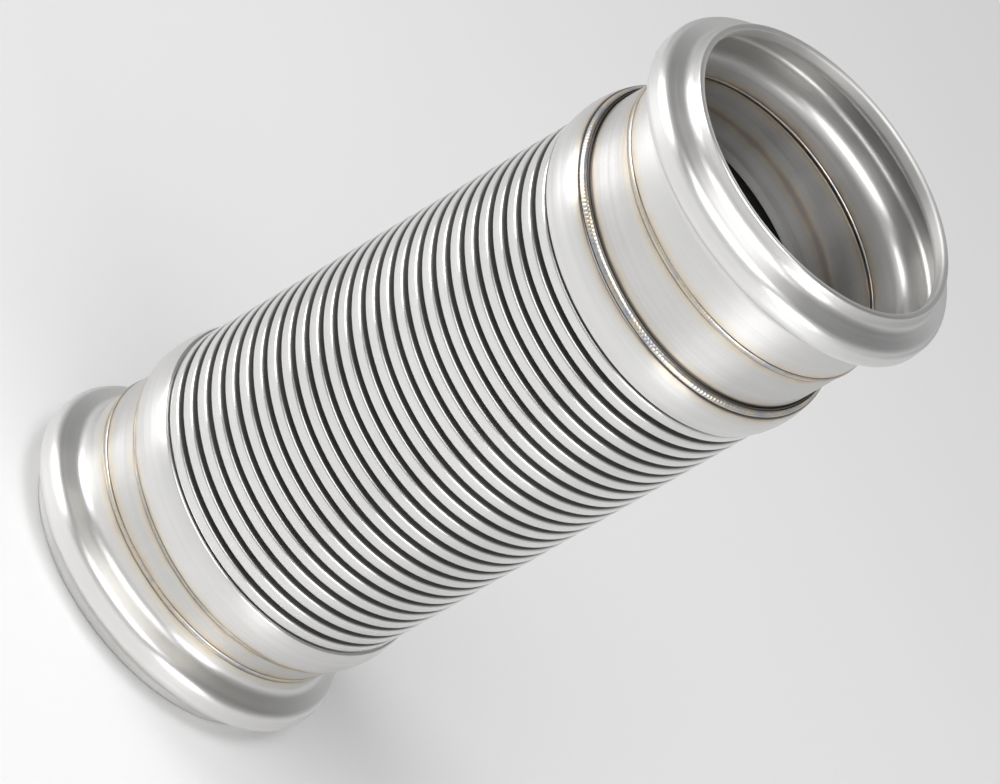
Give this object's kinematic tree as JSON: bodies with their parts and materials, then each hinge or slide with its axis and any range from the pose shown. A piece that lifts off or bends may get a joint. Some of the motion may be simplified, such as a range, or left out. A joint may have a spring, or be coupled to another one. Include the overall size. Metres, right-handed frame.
{
  "type": "exhaust flex pipe",
  "caption": "Flexible exhaust section: a corrugated metal hose with a crowned collar, a sleeve and a beaded clamp flange at each end.",
  "frame": {"origin": "on the plane of the lower flange's rim, midway between the two flanges' axes", "axes": "+Z along both flanges' axes, up to the upper flange; +X the way that the hose leans; +Y across, square to the plane of the S"},
  "size_m": [0.188, 0.1466, 0.3413],
  "materials": {
    "hose_steel": "bright formed stainless strip",
    "sleeve_steel": "satin drawn stainless tube",
    "collar_steel": "satin rolled stainless band",
    "flange_steel": "satin formed stainless tube",
    "weld_steel": "weld bead, slightly heat tinted"
  },
  "bodies": {
    "lower_end": {"lower_bead_flange": "flange_steel", "lower_mitre_weld": "weld_steel", "lower_sleeve": "sleeve_steel", "lower_collar": "collar_steel", "lower_collar_weld": "weld_steel", "corrugated_hose": "hose_steel"},
    "upper_end": {"upper_bead_flange": "flange_steel", "upper_mitre_weld": "weld_steel", "upper_sleeve": "sleeve_steel", "upper_collar": "collar_steel", "upper_collar_weld": "weld_steel"}
  },
  "joints": [
    {"name": "hose_flex", "type": "hinge", "parent": "lower_end", "child": "upper_end", "pos_m": [-0.00042, 0, 0.1667], "axis": [0, 1, 0], "range_deg": [-8, 8], "stiffness_Nm_per_rad": 90, "deforming": ["corrugated_hose"]}
  ]
}
